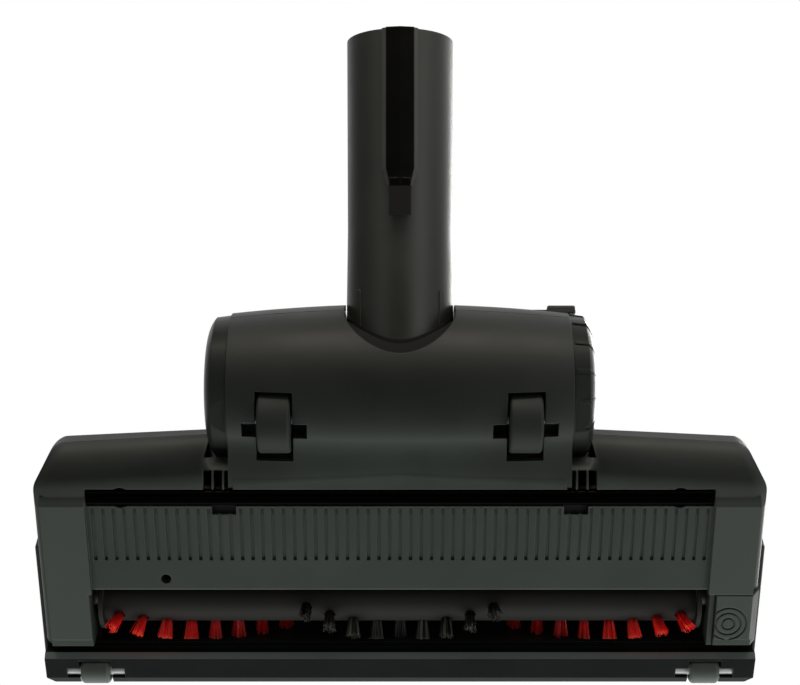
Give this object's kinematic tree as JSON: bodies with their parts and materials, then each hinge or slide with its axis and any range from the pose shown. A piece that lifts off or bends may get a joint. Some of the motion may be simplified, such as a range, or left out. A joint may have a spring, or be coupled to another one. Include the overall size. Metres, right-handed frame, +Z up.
{
  "type": "vacuum floor brush head",
  "caption": "Air-turbine vacuum floor brush head with a tilting neck tube, belt-driven red and black bristle roller, ribbed sole and small running wheels.",
  "frame": {"origin": "on the floor under the middle of the overall box", "axes": "+X to the user's left along the brush roller, -Y towards the front of the head, +Y towards the neck's mouth, +Z up with the wheels on Z = 0"},
  "size_m": [0.2848, 0.249, 0.1149],
  "materials": {
    "shell": "satin",
    "cap": "satin",
    "tube": "satin",
    "gloss": "gloss",
    "roller": "matte",
    "red_bristle": "matte",
    "black_bristle": "matte",
    "steel": "polished",
    "bush": "matte",
    "belt": "matte",
    "rotor": "matte",
    "wheel": "matte"
  },
  "bodies": {
    "housing": {"base_shell": "shell", "top_cover": "shell", "front_bar": "shell", "sole_lip": "gloss", "end_cap_left": "cap", "end_cap_right": "cap", "brush_bush_left": "bush", "brush_bush_right": "bush", "drive_belt": "belt", "turbine_bearings": "steel", "rear_axle_left": "steel", "rear_axle_right": "steel", "front_axle_left": "steel", "front_axle_right": "steel", "housing_screws": "steel"},
    "neck": {"neck_tube": "tube", "parking_hook": "gloss"},
    "brush": {"brush_core": "roller", "red_bristles": "red_bristle", "black_bristles": "black_bristle", "brush_shaft": "steel", "brush_pulley": "bush"},
    "turbine": {"turbine_rotor": "rotor", "turbine_shaft": "steel", "turbine_pulley": "bush"},
    "rear_wheel_l": {"rear_wheel_left": "wheel"},
    "rear_wheel_r": {"rear_wheel_right": "wheel"},
    "front_roller_l": {"front_roller_left": "wheel"},
    "front_roller_r": {"front_roller_right": "wheel"},
    "regulator": {"regulator_slider": "cap"},
    "corner_cap": {"bearing_cap": "shell"}
  },
  "joints": [
    {"name": "neck_tilt", "type": "hinge", "parent": "housing", "child": "neck", "pos_m": [0, -0.00899, 0.036], "axis": [1, 0, 0], "range_deg": [-26, 64]},
    {"name": "brush_spin", "type": "hinge", "parent": "housing", "child": "brush", "pos_m": [0, -0.09159, 0.0169], "axis": [1, 0, 0], "continuous": true},
    {"name": "turbine_spin", "type": "hinge", "parent": "housing", "child": "turbine", "pos_m": [0, -0.05599, 0.028], "axis": [1, 0, 0], "continuous": true},
    {"name": "rear_wheel_left_spin", "type": "hinge", "parent": "housing", "child": "rear_wheel_l", "pos_m": [0.047, -0.01239, 0.0124], "axis": [1, 0, 0], "continuous": true},
    {"name": "rear_wheel_right_spin", "type": "hinge", "parent": "housing", "child": "rear_wheel_r", "pos_m": [-0.047, -0.01239, 0.0124], "axis": [1, 0, 0], "continuous": true},
    {"name": "front_roller_left_spin", "type": "hinge", "parent": "housing", "child": "front_roller_l", "pos_m": [0.1204, -0.11769, 0.0055], "axis": [1, 0, 0], "continuous": true},
    {"name": "front_roller_right_spin", "type": "hinge", "parent": "housing", "child": "front_roller_r", "pos_m": [-0.1204, -0.11769, 0.0055], "axis": [1, 0, 0], "continuous": true},
    {"name": "regulator_slide", "type": "slide", "parent": "housing", "child": "regulator", "axis": [1, 0, 0], "range_m": [0, 0.01]},
    {"name": "bearing_cap_release", "type": "slide", "parent": "housing", "child": "corner_cap", "axis": [0, 0, -1], "range_m": [0, 0.02]}
  ],
  "couplings": [
    {"joint": "turbine_spin", "follows": "brush_spin", "ratio": 2}
  ]
}
